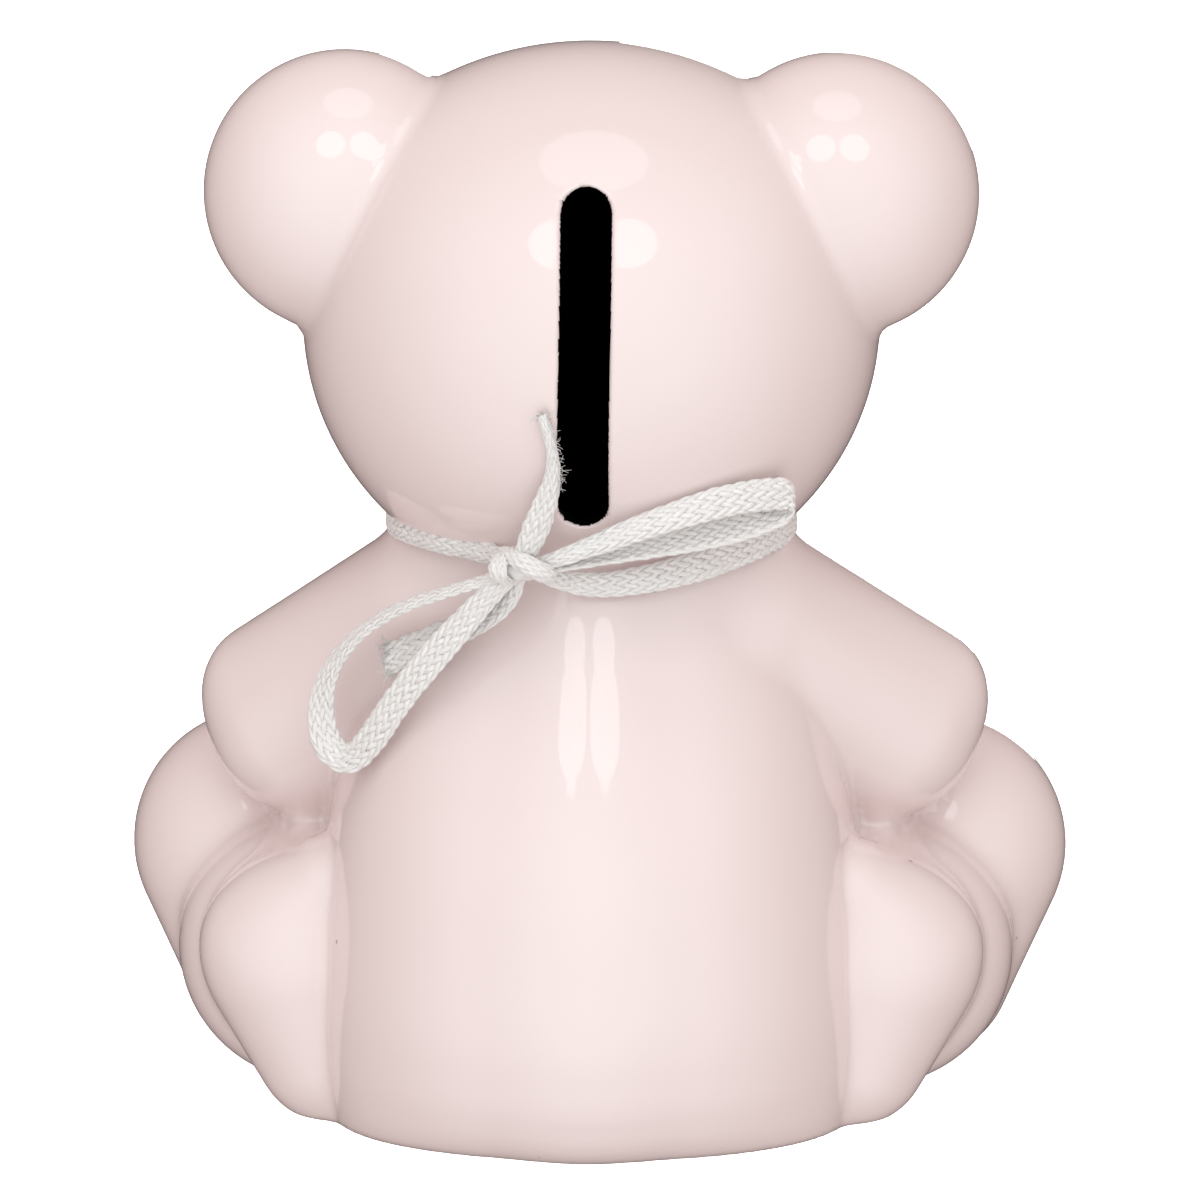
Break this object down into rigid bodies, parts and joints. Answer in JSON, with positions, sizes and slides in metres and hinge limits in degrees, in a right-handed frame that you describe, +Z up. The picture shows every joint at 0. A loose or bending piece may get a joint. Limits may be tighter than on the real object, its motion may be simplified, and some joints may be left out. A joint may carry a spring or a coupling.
{
  "type": "figural animal coin bank",
  "caption": "Glazed ceramic teddy-bear money box with a coin slot in the back of the head, a pull-out base stopper and a ribbon bow.",
  "frame": {"origin": "on the standing surface, under the middle of the whole bank, 4.4 mm in front of the centre of the base hole", "axes": "+Z up; the bear looks along -Y, so the coin slot is on the +Y side; +X is the bear's left"},
  "size_m": [0.0942, 0.0656, 0.1097],
  "materials": {
    "glaze": "glossy",
    "stopper": "matte",
    "ribbon": "braided"
  },
  "bodies": {
    "bank": {"bear_shell": "glaze", "neck_band": "ribbon", "bow_knot": "ribbon", "bow_loop_right": "ribbon", "bow_loop_left": "ribbon", "tail_upper": "ribbon", "tail_lower": "ribbon"},
    "stopper": {"base_stopper": "stopper"}
  },
  "joints": [
    {"name": "stopper_pull", "type": "slide", "parent": "bank", "child": "stopper", "axis": [0, 0, -1], "range_m": [0, 0.03]}
  ]
}
